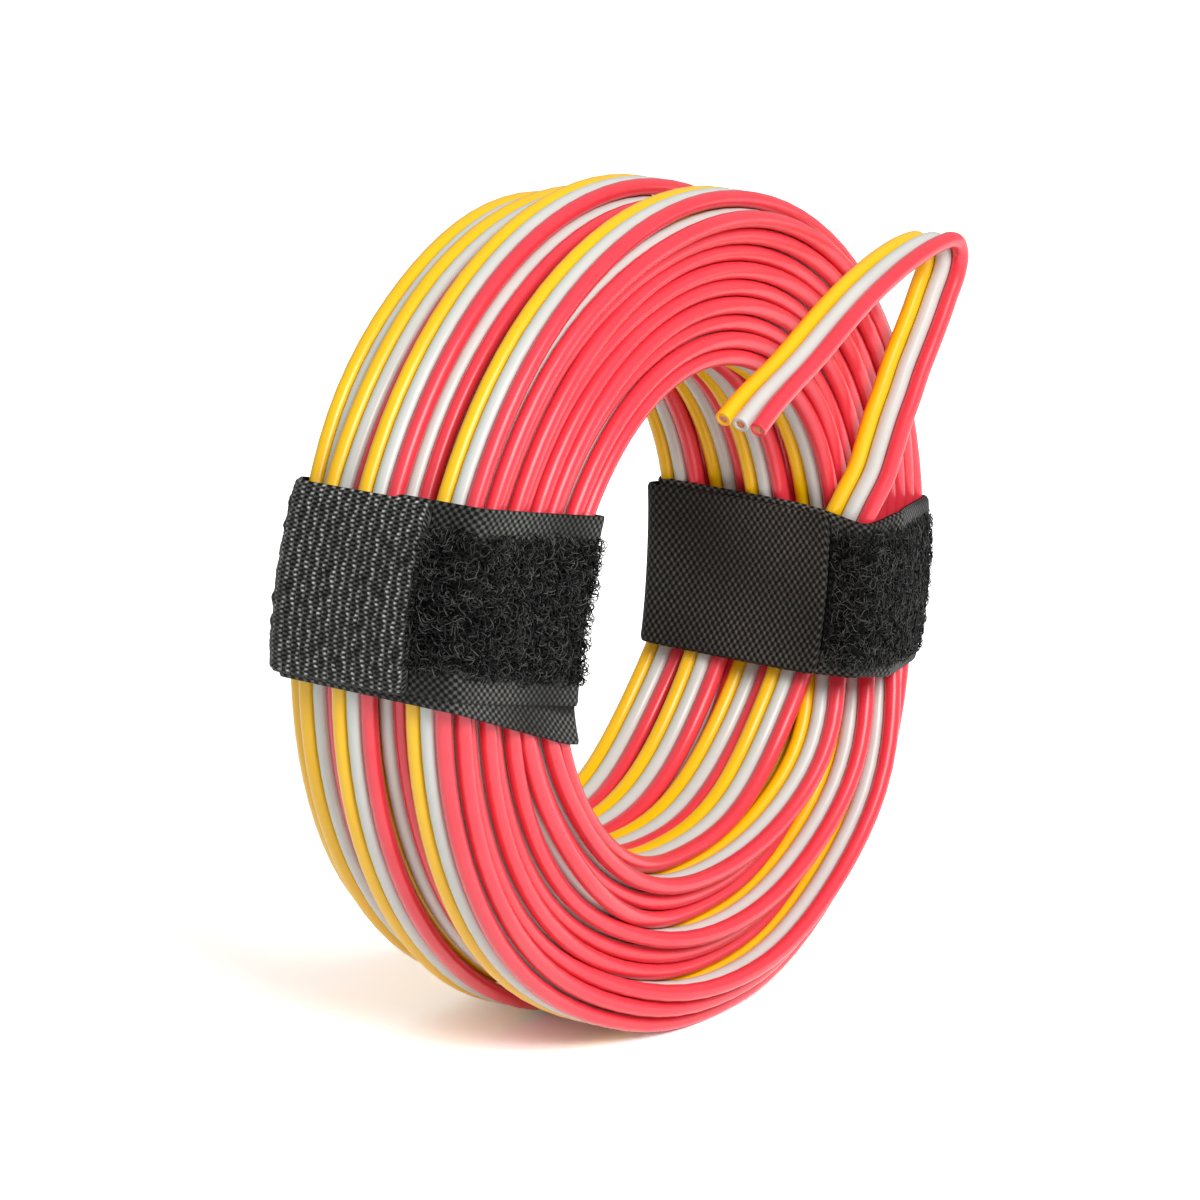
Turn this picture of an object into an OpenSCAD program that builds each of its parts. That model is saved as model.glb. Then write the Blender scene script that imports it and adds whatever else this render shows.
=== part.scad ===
// Coil of three-core ribbon power cable, held by two hook-and-loop straps.
// The ribbon is three insulated cores bonded side by side: yellow, white and red.
// It is wound flat on itself in spiral columns that stand beside each other, with the
// red core towards the front face, and its free end folds over in front of the coil.
// The coil stands on its rim. Its axis runs along Y, and the front face looks along -Y.
// The origin is on the floor, where the red core of the second column is pressed flat.

/* [Cable] */
// Diameter of one insulated core
core_d = 2.2; // [1.4:0.1:3.2]
// Diameter of the stranded copper conductor in a core
conductor_d = 1.2; // [0.6:0.1:1.3]
// Length of conductor that seats in the cut end of a core
conductor_len = 5; // [2:0.5:5]

/* [Winding] */
// Radius of the first turn, at the middle of the core
first_turn_r = 31.6; // [26:0.2:48]
// Turns in a full spiral column
full_turns = 10; // [4:1:12]
// Turns in a column that stops a layer short
short_turns = 9; // [4:1:12]
// Slack between one turn and the next layer over it
layer_gap = 0.05; // [0.05:0.05:0.6]
// Slack between one spiral column and the next
column_gap = 0.1; // [0.1:0.1:1.5]
// How far the lowest turns are pressed flat where the coil stands
flat_depth = 0.6; // [0.2:0.1:0.9]

/* [Straps] */
// Width of a strap
strap_w = 24; // [12:1:32]
// How far round the coil the near strap sits above its middle, in degrees
near_strap_turn = 14.5; // [0:0.5:25]
// How far round the coil the far strap sits below its middle, in degrees
far_strap_turn = 9.5; // [0:0.5:20]
// Thickness of the loop band that goes round the bundle
band_t = 1.2; // [0.6:0.1:2.5]
// Thickness of the hook tab that closes on the band
tab_t = 1; // [0.5:0.1:2]
// Slack between a strap and the cable in it
strap_gap = 0.2; // [0.1:0.1:1]

/* [Hidden] */

// Places of the three cores across the ribbon, counted from the white one
yellow_place = 1;
white_place = 0;
red_place = -1;

yellow_pvc = "#f4c400";
white_pvc = "#e9e9e4";
red_pvc = "#e8394b";
copper = "#b87348";
hook_tape = "#2b2c2c";
loop_tape = "#1d1e1e";

core_pitch = core_d;
layer_pitch = core_d + layer_gap;
centre_shift = layer_pitch / 4;
ribbon_w = len([yellow_place, white_place, red_place]) * core_pitch;
column_pitch = ribbon_w + column_gap;

// Turns of each spiral column, from the back of the coil to the front
column_turns = [short_turns, full_turns, short_turns, full_turns];
last_column = len(column_turns) - 1;
// Middle of the coil's width, with the second column's red core over the origin
middle_y = core_pitch - column_pitch / 2;

// A spiral is built from half turns. Each grows by half a layer, about one of two centres.
function crossing_r(j) = first_turn_r + j * layer_pitch / 2;
function half_turn_r(j) = (crossing_r(j) + crossing_r(j + 1)) / 2;
function column_y(c) = middle_y + (last_column / 2 - c) * column_pitch;
function grows(c) = c % 2 == 0;

last_half_turn = 2 * full_turns - 1;
rim_r = half_turn_r(last_half_turn) - centre_shift + core_d / 2;
axis_z = rim_r - flat_depth;
overrun = 1;
circle_fn = 96;

// Box that a strap closes round: from the inmost turn at the strap's edges to the rim
strap_reach = strap_w / 2 + centre_shift;
seat_inner_r = half_turn_r(0) - core_d / 2;
strap_inner_x = sqrt(pow(seat_inner_r, 2) - pow(strap_reach, 2)) - centre_shift;
strap_outer_x = crossing_r(2 * full_turns) + core_d / 2;
strap_half_y = last_column / 2 * column_pitch + core_pitch + core_d / 2;
// The far strap also takes in the free end, which leaves the coil at its front inner corner
tail_bulge_shares = [0.4, 2.95];
tail_bulge = core_d * tail_bulge_shares;
no_bulge = [0, 0];
corner_fn = 32;
corner_r = core_d / 2;

// Free end of the white core, from the end of the front column's inmost turn, in core diameters
tail_start = [
    crossing_r(0) * cos(far_strap_turn) - centre_shift * sin(far_strap_turn),
    column_y(last_column),
    axis_z - crossing_r(0) * sin(far_strap_turn) - centre_shift * cos(far_strap_turn)
];
tail_shares = [
    [0, 0, 0], [0.11, 0, 0.67], [0.15, -0.52, 2.03], [0.08, -1.34, 3.62], [-0.17, -2.34, 5.26],
    [0.15, -3.25, 6.8], [0.88, -3.7, 8.35], [1.42, -3.93, 9.9], [2.06, -4.11, 11.49],
    [2.79, -4.3, 12.99], [3.51, -4.43, 14.44], [4.29, -4.61, 15.85], [5.06, -4.8, 17.3],
    [5.74, -4.93, 18.62], [6.29, -5.07, 19.76], [6.47, -5.16, 20.76], [6.06, -5.25, 21.49],
    [5.33, -5.3, 21.9], [4.33, -5.34, 22.08], [2.42, -5.43, 22.03], [-0.03, -5.52, 21.67],
    [-2.08, -5.61, 21.21], [-4.12, -5.66, 20.62], [-6.12, -5.75, 19.94], [-8.03, -5.84, 19.21],
    [-9.94, -5.93, 18.44], [-11.8, -5.98, 17.71], [-13.4, -6.02, 17.17], [-15.4, -6.07, 16.44],
    [-17.35, -6.16, 15.58]
];
tail_last = len(tail_shares) - 1;
tail_sides = 8;

function unit(v) = v / norm(v);
function step_at(i) = core_d * tail_shares[max(0, min(tail_last, i))];
// Direction of the free end at a point. Its first ring lies flat on the end of the turn.
function tail_along(i) =
    i == 0 ? [sin(far_strap_turn), 0, cos(far_strap_turn)] : unit(step_at(i + 1) - step_at(i - 1));
// Direction across the ribbon, from the red core to the yellow one
function tail_across(i) = let (t = tail_along(i)) unit([0, 1, 0] - t * t[1]);
function tail_point(place, i) = tail_start + step_at(i) + place * core_pitch * tail_across(i);
function ring_point(place, i, k) =
    let (a = 360 * k / tail_sides, side = tail_across(i), out = cross(side, tail_along(i)))
    tail_point(place, i) + core_d / 2 * (cos(a) * side + sin(a) * out);

function ring_index(i, k) = i * tail_sides + k % tail_sides;

// One half turn of a core about its own centre
module half_turn(j) {
    rotate_extrude(angle = 180, $fn = circle_fn)
        translate([half_turn_r(j), 0])
            circle(d = core_d, $fn = circle_fn);
}

// A flat spiral that grows anticlockwise, centred on the coil's axis
module growing_spiral(turns) {
    translate([0, centre_shift, 0])
        for (j = [0:2 * turns - 1])
            translate([(j % 2 == 0 ? -1 : 1) * centre_shift, 0, 0])
                rotate([0, 0, j % 2 == 0 ? 0 : 180])
                    half_turn(j);
}

// One core's turns in one column. The next column is wound back inwards, so it is mirrored.
module column_spiral(c) {
    if (grows(c))
        growing_spiral(column_turns[c]);
    else
        mirror([0, 1, 0])
            growing_spiral(column_turns[c]);
}

// All the turns of one core, pressed flat where the coil stands
module wound_core(place) {
    difference() {
        for (c = [0:last_column])
            translate([0, column_y(c) + place * core_pitch, axis_z])
                rotate([90, far_strap_turn, 0])
                    column_spiral(c);
        translate([-rim_r, -rim_r, -overrun])
            cube([2 * rim_r, 2 * rim_r, overrun]);
    }
}

// Stands its children at the cut end of a core, with +Z out along the core
module at_cut_end(place) {
    along = tail_point(place, tail_last) - tail_point(place, tail_last - 1);
    translate(tail_point(place, tail_last))
        rotate([0, acos(unit(along)[2]), atan2(along[1], along[0])])
            children();
}

// The free end of one core, with a bore for its conductor
module free_core(place) {
    rings = [for (i = [0:tail_last]) for (k = [0:tail_sides - 1]) ring_point(place, i, k)];
    first_face = [for (k = [0:tail_sides - 1]) ring_index(0, k)];
    last_face = [for (k = [tail_sides - 1:-1:0]) ring_index(tail_last, k)];
    walls = [
        for (i = [0:tail_last - 1])
            for (k = [0:tail_sides - 1])
                [ring_index(i + 1, k), ring_index(i + 1, k + 1), ring_index(i, k + 1), ring_index(i, k)]
    ];
    difference() {
        polyhedron(rings, concat([first_face], walls, [last_face]));
        at_cut_end(place)
            translate([0, 0, -conductor_len])
                cylinder(d = conductor_d, h = conductor_len + overrun, $fn = circle_fn);
    }
}

// The stranded conductor that shows in a cut end
module conductor(place) {
    at_cut_end(place)
        translate([0, 0, -conductor_len])
            cylinder(d = conductor_d, h = conductor_len, $fn = circle_fn);
}

// Outline round a strap's box, at a distance from the cable. It bulges inwards and forwards
// at its front inner corner.
module strap_outline(reach, bulge) {
    hull() {
        for (x = [strap_inner_x + corner_r, strap_outer_x - corner_r])
            translate([x, strap_half_y - corner_r])
                circle(r = corner_r + reach, $fn = corner_fn);
        translate([strap_outer_x - corner_r, corner_r - strap_half_y])
            circle(r = corner_r + reach, $fn = corner_fn);
        translate([strap_inner_x + corner_r, corner_r - strap_half_y] - bulge)
            circle(r = corner_r + reach, $fn = corner_fn);
    }
}

// One layer of a strap, between two distances from the cable
module strap_layer(inside, thickness, bulge) {
    difference() {
        strap_outline(inside + thickness, bulge);
        strap_outline(inside, bulge);
    }
}

// Carries a strap's section round the coil to its place and gives it its width
module strap_place(turn) {
    translate([0, middle_y, axis_z])
        rotate([0, turn, 0])
            linear_extrude(strap_w, center = true)
                children();
}

// The tab lies on the band, from the back of the bundle towards one corner of its front.
// It stops short of that corner by its setback.
module strap_tab(bulge, setback, from_x, to_x) {
    front = corner_r - strap_half_y - bulge[1] + setback;
    behind = strap_half_y + strap_gap + band_t + tab_t;
    intersection() {
        strap_layer(strap_gap + band_t, tab_t, bulge);
        translate([from_x, front])
            square([to_x - from_x, behind - front]);
    }
}

// How far a tab reaches along the back of the bundle
tab_hold = (strap_outer_x - strap_inner_x) / 3;
// The near tab ends half way to the corner, and the far tab at the corner
near_setback = strap_half_y / 2;
far_setback = 0;
strap_far_x = strap_outer_x + corner_r + strap_gap + band_t + tab_t;
strap_near_x = strap_inner_x - tail_bulge[0] - corner_r - strap_gap - band_t - tab_t;

module yellow_winding() { color(yellow_pvc) wound_core(yellow_place); }
module white_winding() { color(white_pvc) wound_core(white_place); }
module red_winding() { color(red_pvc) wound_core(red_place); }
module yellow_tail() { color(yellow_pvc) free_core(yellow_place); }
module white_tail() { color(white_pvc) free_core(white_place); }
module red_tail() { color(red_pvc) free_core(red_place); }
module yellow_conductor() { color(copper) conductor(yellow_place); }
module white_conductor() { color(copper) conductor(white_place); }
module red_conductor() { color(copper) conductor(red_place); }
module near_strap_band() {
    color(loop_tape)
        strap_place(near_strap_turn)
            mirror([1, 0, 0])
                strap_layer(strap_gap, band_t, no_bulge);
}
module near_strap_tab() {
    color(hook_tape)
        strap_place(near_strap_turn)
            mirror([1, 0, 0])
                strap_tab(no_bulge, near_setback, strap_outer_x - tab_hold, strap_far_x);
}
module far_strap_band() {
    color(loop_tape)
        strap_place(far_strap_turn)
            strap_layer(strap_gap, band_t, tail_bulge);
}
module far_strap_tab() {
    color(hook_tape)
        strap_place(far_strap_turn)
            strap_tab(tail_bulge, far_setback, strap_near_x, strap_inner_x + tab_hold);
}

yellow_winding();
white_winding();
red_winding();
yellow_tail();
white_tail();
red_tail();
yellow_conductor();
white_conductor();
red_conductor();
near_strap_band();
near_strap_tab();
far_strap_band();
far_strap_tab();
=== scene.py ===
# %% [markdown]
# # A coil of three-core ribbon power cable
#
# Three bonded PVC cores, yellow, white and red, are wound flat on themselves in four columns
# and held by two woven hook-and-loop straps. The coil stands on its rim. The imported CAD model
# is the frame and gives the size. Each core, strand bundle, band and tab made here stands in
# for one or two of its nodes, and the loop pile is laid on the bands.

# %% The frame
import math

import bpy
import numpy as np
from mathutils import Matrix, Vector


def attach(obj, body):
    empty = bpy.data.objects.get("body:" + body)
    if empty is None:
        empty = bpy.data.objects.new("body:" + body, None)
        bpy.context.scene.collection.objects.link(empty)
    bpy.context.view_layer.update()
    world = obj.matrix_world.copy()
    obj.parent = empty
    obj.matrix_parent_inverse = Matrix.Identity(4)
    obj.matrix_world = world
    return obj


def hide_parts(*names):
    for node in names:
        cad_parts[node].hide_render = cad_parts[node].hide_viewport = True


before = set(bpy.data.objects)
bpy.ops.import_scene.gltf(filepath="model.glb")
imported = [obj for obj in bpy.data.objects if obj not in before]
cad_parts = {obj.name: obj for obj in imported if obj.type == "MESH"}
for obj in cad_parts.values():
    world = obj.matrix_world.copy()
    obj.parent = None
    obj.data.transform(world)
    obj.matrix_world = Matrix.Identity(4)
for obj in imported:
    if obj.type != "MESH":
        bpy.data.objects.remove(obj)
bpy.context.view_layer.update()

# %% [markdown]
# ## Camera
#
# The photograph looks down a little on the coil from its left. A camera could be set by eye, but
# its angles here come from the outlines of the coil's two faces, so that the render can be laid
# over the photograph. A long lens keeps those outlines nearly round. Lengths in this script are
# millimetres, and MM turns them into Blender's metres.

# %% Camera
MM = 0.001
AXIS_Z = 53.475
MIDDLE_Y = -1.15
MIDDLE = Vector((0.0, MIDDLE_Y, AXIS_Z))
VIEW_AZIMUTH = math.radians(-56.0)
VIEW_ELEVATION = math.radians(15.96)
VIEW_DISTANCE = 906.2
LENS = 210.0
SENSOR_W = 36.0
NEAREST_SEEN = 10.0
# The camera aims this far to the right of the coil's middle, and this far above it.
AIM_RIGHT = -2.075
AIM_UP = 0.109

back = Vector((math.sin(VIEW_AZIMUTH) * math.cos(VIEW_ELEVATION),
               -math.cos(VIEW_AZIMUTH) * math.cos(VIEW_ELEVATION),
               math.sin(VIEW_ELEVATION)))
right = Vector((math.cos(VIEW_AZIMUTH), math.sin(VIEW_AZIMUTH), 0.0))
up = back.cross(right)
aim = MIDDLE + right * AIM_RIGHT + up * AIM_UP

camera_data = bpy.data.cameras.new("camera")
camera_data.lens = LENS
camera_data.sensor_width = SENSOR_W
camera_data.sensor_fit = "HORIZONTAL"
camera_data.clip_start = NEAREST_SEEN * MM
camera = bpy.data.objects.new("camera", camera_data)
camera.matrix_world = (Matrix.Translation((aim + back * VIEW_DISTANCE) * MM)
                       @ back.to_track_quat("Z", "Y").to_matrix().to_4x4())
bpy.context.scene.collection.objects.link(camera)
bpy.context.scene.camera = camera
print("camera at", [round(v, 4) for v in camera.location])

# %% [markdown]
# ## Route of the cable
#
# The white core in the middle of the ribbon leads, and the other two lie one core's width to
# either side of it. A column is a flat spiral, one layer further out each turn. The cable goes
# out through one column and back in through the next, so its two ends stay on the inside, under
# the far strap. A Blender curve with a round bevel could follow such a route. Working the points
# out with numpy gives one list that the cores and their cut ends share.

# %% Sizes of the winding
CORE_D = 2.2
LAYER_PITCH = 2.25
COLUMN_PITCH = 6.7
FIRST_TURN_R = 31.6
# Angles run anticlockwise from three o'clock, seen from the front.
START_ANGLE = -math.radians(9.5)
COLUMN_TURNS = [9, 9, 9, 10]
# A column's outmost turn may lie one layer higher than its neighbours need, over their edges.
OUTMOST_LIFT = [0, 1, 0, 0]
RINGS_PER_TURN = 90
print("turns in all:", sum(COLUMN_TURNS))

# %% [markdown]
# ### Drift of the turns
#
# The real turns don't lie in a flat stack. Random wobble would put the gaps in the wrong places,
# so the drift of the turns that show was chosen to match the photograph at clock places an
# eighth of a turn apart, and it eases from one place to the next. Where the front turns slip to
# the back, the hidden turns behind them slip too, which makes room for them.

# %% Drift of the turns
# Each list runs from the inmost layer to the outmost, in millimetres. Its key is a clock place in
# degrees. Minus is to the front, and a place that isn't listed has no drift.
SLIP = {135: [0.0, 0.0, 0.5, 0.0, 0.0, 0.8, 0.0, 1.1],
        180: [0.0, 0.0, 0.95, 0.0, 0.0, 1.2, 0.2, 1.7],
        225: [0.0, 0.0, 0.0, 0.0, 0.0, 1.1, 0.2, 1.5]}
DRIFT = {
    0: {45: [0.0] * 7 + [3.0, 0.0],
        90: [0.0] * 7 + [4.9, -0.5],
        135: SLIP[135][:7] + [4.1, -0.3],
        180: SLIP[180][:7] + [3.0, 0.1],
        225: SLIP[225][:7] + [3.6, 0.1],
        270: [1.0] + [0.0] * 6 + [3.0, 0.1],
        315: [2.5, 1.0] + [0.0] * 5 + [1.5, 0.0]},
    1: {135: SLIP[135] + [0.0, 0.0],
        180: SLIP[180] + [0.0, 0.0],
        225: SLIP[225] + [0.0, 0.0],
        270: [1.0] + [0.0] * 9,
        315: [1.6] + [0.0] * 9},
    2: {45: [0.0] * 8 + [3.2],
        90: [0.0] * 8 + [3.9],
        135: SLIP[135] + [3.6],
        180: SLIP[180] + [3.4],
        225: SLIP[225] + [3.2],
        270: [0.9] + [0.0] * 7 + [2.4],
        315: [1.5] + [0.0] * 7 + [1.0]},
    3: {45: [-0.6, -1.2, -0.4, -1.5, -0.6, -1.6, -0.8, -1.8, -2.0, 0.2],
        90: [-0.6, -0.8, -0.2, -0.8, -0.4, -0.6, -0.2, -0.8, -2.2, 0.9],
        135: [-1.0, -0.8, 0.6, -0.6, 0.0, 0.9, 0.0, 1.2, 0.2, 1.5],
        180: [-0.6, -0.4, 1.0, -0.3, 0.0, 1.3, 0.3, 1.8, 0.8, 2.2],
        225: [-0.7, -2.2, -0.4, -2.8, -0.2, 1.2, 0.3, 1.6, 0.8, 2.0],
        270: [1.2, -3.2, -1.8, -1.2, -5.6, -3.6, -2.8, -7.2, -5.4, -3.6],
        315: [1.8, -4.6, -1.0, -0.4, -5.8, -1.8, -1.2, -6.4, -3.6, -3.0]},
}
# Where a turn that has drifted off its column is pushed further out, in the same form.
PUSHED_OUT = {0: {45: [0.0] * 7 + [0.4, 0.0], 90: [0.0] * 7 + [1.0, 0.0], 135: [0.0] * 7 + [1.0, 0.0]}}


def eased(places, layer, angle, grows):
    """Sum over the listed clock places of the place's value for this layer times the squared cosine of
    twice the angle from it, which is 1 at the place and 0 an eighth of a turn away. Layers in between
    are blended."""
    total = np.zeros_like(angle)
    for place, values in places.items():
        place = math.radians(place)
        share = (place - START_ANGLE) / (2 * np.pi)
        at_layer = layer - share if grows else layer + share - 1
        away = (angle - place + np.pi) % (2 * np.pi) - np.pi
        weight = np.where(np.abs(away) < np.pi / 4, np.cos(2 * away) ** 2, 0.0)
        total += weight * np.interp(at_layer, np.arange(len(values)), values)
    return total


print("clock places with drift in each column:", [len(places) for places in DRIFT.values()])

# %% [markdown]
# ### Spiral columns
#
# Each column is worked out as whole arrays of angle, radius and place along the coil's axis. The
# four are then joined end to end, and a mean over a few neighbours turns the step from column to
# column into the slanting crossing that a real cable makes. The coil's weight presses a small
# flat spot into it at the floor, and its top stands a little higher than a true circle.

# %% Spiral columns
CROSSING_RINGS = 3
FLAT_DEPTH = 0.53
FLAT_REACH = 10.0
# The flat spot begins this far below the axis and is full this much lower.
FLAT_FROM = 10.0
FLAT_FADE = 24.0
TOP_RISE = 0.9


def spiral_column(column):
    """Angle, radius, place along the coil's axis and shift of centre of one column's turns.
    The radius grows, or shrinks in every second column, by one layer pitch each turn."""
    turns = COLUMN_TURNS[column]
    turned = np.arange(turns * RINGS_PER_TURN) / RINGS_PER_TURN
    grows = column % 2 == 0
    layer = turned if grows else turns - turned + OUTMOST_LIFT[column] * (turned < 1)
    angle = 2 * np.pi * turned + START_ANGLE
    middle = ((len(COLUMN_TURNS) - 1) / 2 - column) * COLUMN_PITCH
    across = middle + eased(DRIFT[column], layer, angle, grows)
    pushed = eased(PUSHED_OUT.get(column, {}), layer, angle, grows)
    radius = FIRST_TURN_R + LAYER_PITCH * layer + pushed
    shift = np.full_like(angle, LAYER_PITCH / 4 if grows else -LAYER_PITCH / 4)
    return np.stack([angle, radius, across, shift])


def smoothed(values, reach):
    """Weighted mean over a few neighbours to each side, which turns a step into a gentle ramp."""
    kernel = np.hanning(2 * reach + 3)[1:-1]
    padded = np.pad(values, reach, mode="edge")
    return np.convolve(padded, kernel / kernel.sum(), mode="valid")


columns = np.concatenate([spiral_column(c) for c in range(len(COLUMN_TURNS))], axis=1)
angle = columns[0]
radius, across, shift = [smoothed(row, CROSSING_RINGS) for row in columns[1:]]
x = radius * np.cos(angle) - shift * math.sin(START_ANGLE)
z = radius * np.sin(angle) + shift * math.cos(START_ANGLE)
sag = FLAT_DEPTH * np.exp(-(x / FLAT_REACH) ** 2) * np.clip((-z - FLAT_FROM) / FLAT_FADE, 0, 1)
z = z + sag + TOP_RISE * np.clip(np.sin(angle), 0, 1) ** 2
wound = np.stack([x, across + MIDDLE_Y, z + AXIS_Z], axis=1)
print("points along the winding:", len(wound), "lowest", round(wound[:, 2].min() - CORE_D / 2, 3))

# %% [markdown]
# ### Free end
#
# The last turn leaves the far strap, climbs in front of the coil, folds over on itself and ends
# square-cut. No formula gives such a bend, so its route is the list of steps that the CAD model
# follows, in core diameters, a little straighter where it comes out of the strap. A smooth curve
# laid through the list takes the corners out of it.

# %% Free end
TAIL_START = np.array([
    FIRST_TURN_R * math.cos(START_ANGLE) + LAYER_PITCH / 4 * math.sin(START_ANGLE),
    MIDDLE_Y - (len(COLUMN_TURNS) - 1) / 2 * COLUMN_PITCH,
    AXIS_Z + FIRST_TURN_R * math.sin(START_ANGLE) - LAYER_PITCH / 4 * math.cos(START_ANGLE)])
TAIL_SHARES = np.array([
    [0, 0, 0], [0.11, 0, 0.67], [0.15, -0.6, 2.03], [0.05, -1.7, 3.62], [-0.2, -2.65, 5.26],
    [0.15, -3.25, 6.8], [0.88, -3.7, 8.35], [1.42, -3.93, 9.9], [2.06, -4.11, 11.49],
    [2.79, -4.3, 12.99], [3.51, -4.43, 14.44], [4.29, -4.61, 15.85], [5.06, -4.8, 17.3],
    [5.74, -4.93, 18.62], [6.29, -5.07, 19.76], [6.47, -5.16, 20.76], [6.06, -5.25, 21.49],
    [5.33, -5.3, 21.9], [4.33, -5.34, 22.08], [2.42, -5.43, 22.03], [-0.03, -5.52, 21.67],
    [-2.08, -5.61, 21.21], [-4.12, -5.66, 20.62], [-6.12, -5.75, 19.94], [-8.03, -5.84, 19.21],
    [-9.94, -5.93, 18.44], [-11.8, -5.98, 17.71], [-13.4, -6.02, 17.17], [-15.4, -6.07, 16.44],
    [-17.35, -6.16, 15.58]
])
TAIL_RINGS_PER_STEP = 6


def smooth_curve(points, per_step):
    """Cubic through the points. At each point it runs along the line between that point's two
    neighbours."""
    padded = np.concatenate([2 * points[:1] - points[1:2], points, 2 * points[-1:] - points[-2:-1]])
    before, start, end, after = (padded[k:len(padded) - 3 + k, None] for k in range(4))
    t = (np.arange(per_step) / per_step)[None, :, None]
    curve = 0.5 * (2 * start + (end - before) * t + (2 * before - 5 * start + 4 * end - after) * t ** 2
                   + (3 * start - before - 3 * end + after) * t ** 3)
    return np.concatenate([curve.reshape(-1, 3), points[-1:]])


tail = TAIL_START + smooth_curve(CORE_D * TAIL_SHARES, TAIL_RINGS_PER_STEP)
ribbon = np.concatenate([wound, tail])
ribbon_length = np.linalg.norm(np.diff(ribbon, axis=0), axis=1).sum()
print("cable length in metres:", round(ribbon_length * MM, 3))

# %% [markdown]
# ### Lie of the ribbon
#
# The wound ribbon lies flat across its column. Its free end is twisted about its own length, and
# the bonded cores part a little at the cut, where they were pulled. A direction across the
# ribbon at each point says where the yellow and the red core lie beside the white one.

# %% Lie of the ribbon
TAIL_TWIST = math.radians(28)
END_SPREAD = 0.12
# Where along the free end the twist and the spread begin, and how long they take, in route steps.
TWIST_FROM, TWIST_OVER = 1.5, 5.5
SPREAD_FROM, SPREAD_OVER = 26, 3


def unit(v):
    """Each row divided by its own length."""
    return v / np.linalg.norm(v, axis=-1, keepdims=True)


past = (np.arange(len(ribbon)) - len(wound)) / TAIL_RINGS_PER_STEP
twist = TAIL_TWIST * np.clip((past - TWIST_FROM) / TWIST_OVER, 0, 1)
spread = 1 + END_SPREAD * np.clip(past - SPREAD_FROM, 0, SPREAD_OVER) / SPREAD_OVER
along = unit(np.gradient(ribbon, axis=0))
flat = np.stack([-np.sin(twist), np.cos(twist), np.zeros_like(twist)], axis=1)
side = unit(flat - along * (flat * along).sum(axis=1, keepdims=True))
print("points along the cable:", len(ribbon))

# %% [markdown]
# ## Cores
#
# A core is a round PVC sleeve, extruded over its copper. Its ends are cut square: a small rounded
# edge, a flat ring of insulation, and a bore where the copper sits. A bevelled curve would leave
# those ends out, so rings of points are carried along each core's own line, with a few more
# rings at its ends, and neighbouring rings are joined by quads.

# %% Helpers for meshes
def mesh_piece(name, points, faces, **attributes):
    """A smooth mesh object from points in millimetres, faces as lists of point numbers, and any values
    that belong to the points."""
    mesh = bpy.data.meshes.new(name)
    mesh.from_pydata((points * MM).tolist(), [], faces)
    mesh.polygons.foreach_set("use_smooth", np.ones(len(mesh.polygons), bool))
    for key, values in attributes.items():
        layer = mesh.attributes.new(key, "FLOAT", "POINT")
        layer.data.foreach_set("value", values.astype(np.float32))
    mesh.update()
    piece = bpy.data.objects.new(name, mesh)
    bpy.context.scene.collection.objects.link(piece)
    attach(piece, "root")
    return piece


def grid_faces(rows, sides, start=0, closed=False):
    """Quads between neighbouring rings of a tube, numbered row by row; a closed tube meets its own
    start."""
    row, k = np.meshgrid(np.arange(rows if closed else rows - 1), np.arange(sides), indexing="ij")
    nxt, after = (k + 1) % sides, (row + 1) % rows
    quads = np.stack([row * sides + k, row * sides + nxt, after * sides + nxt, after * sides + k], -1)
    return (quads.reshape(-1, 4) + start).tolist()


print("faces between two rings of six:", len(grid_faces(2, 6)))

# %% Core tube
CORE_SIDES = 14
BORE_D = 1.2
BORE_DEPTH = 4.9
# Each end ring's share of the core's radius, and how far it stands beyond the line's end.
END_RADIUS_SHARES = [1.0, 0.93, BORE_D / CORE_D, BORE_D / CORE_D]
END_STEPS = [0.02, 0.08, 0.08, -BORE_DEPTH]


def core_tube(name, line):
    """Rings of one core: centre plus radius times (cosine of a turn times the side direction plus sine
    times the outward direction), with the cut ends' rings before the first and after the last."""
    tangent = unit(np.gradient(line, axis=0))
    out = np.cross(tangent, side)
    shares = np.array(END_RADIUS_SHARES)
    steps = np.array(END_STEPS)[:, None]
    first = line[0] - steps[::-1] * tangent[0]
    last = line[-1] + steps * tangent[-1]
    centres = np.concatenate([first, line, last])
    radii = np.concatenate([shares[::-1], np.ones(len(line)), shares]) * CORE_D / 2
    pick = np.clip(np.arange(len(centres)) - len(shares), 0, len(line) - 1)
    turn = 2 * np.pi * np.arange(CORE_SIDES)[:, None] / CORE_SIDES
    rim = np.cos(turn) * side[pick][:, None] + np.sin(turn) * out[pick][:, None]
    rings = centres[:, None] + radii[:, None, None] * rim
    rows = len(centres)
    caps = [list(range(CORE_SIDES))[::-1], list(range((rows - 1) * CORE_SIDES, rows * CORE_SIDES))]
    return mesh_piece(name, rings.reshape(-1, 3), grid_faces(rows, CORE_SIDES) + caps)


print("rings along a core:", len(ribbon) + 2 * len(END_STEPS))

# %% [markdown]
# ### Copper strands
#
# A flexible conductor is a bundle of thin wires, twisted together, and the cutter leaves their
# ends a little uneven. A disc with a picture of wires would look flat from the side. Nineteen
# short tubes in two rings round a middle one catch the light one by one.

# %% Copper strands
STRAND_D = 0.24
STRAND_SIDES = 8
# Number of strands in each ring, and the ring's radius.
STRAND_RINGS = [(1, 0.0), (6, 0.25), (12, 0.47)]
# A strand's rings: how far each stands beyond the line's end, and its share of the strand's radius.
STRAND_DEPTHS = [-BORE_DEPTH + 0.1, -2.0, -0.02, 0.06]
STRAND_RADIUS_SHARES = [1.0, 1.0, 1.0, 0.7]
STRAND_UNEVEN = (-0.08, 0.02)
STRAND_TWIST = 0.25
rng = np.random.default_rng(7)


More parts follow.
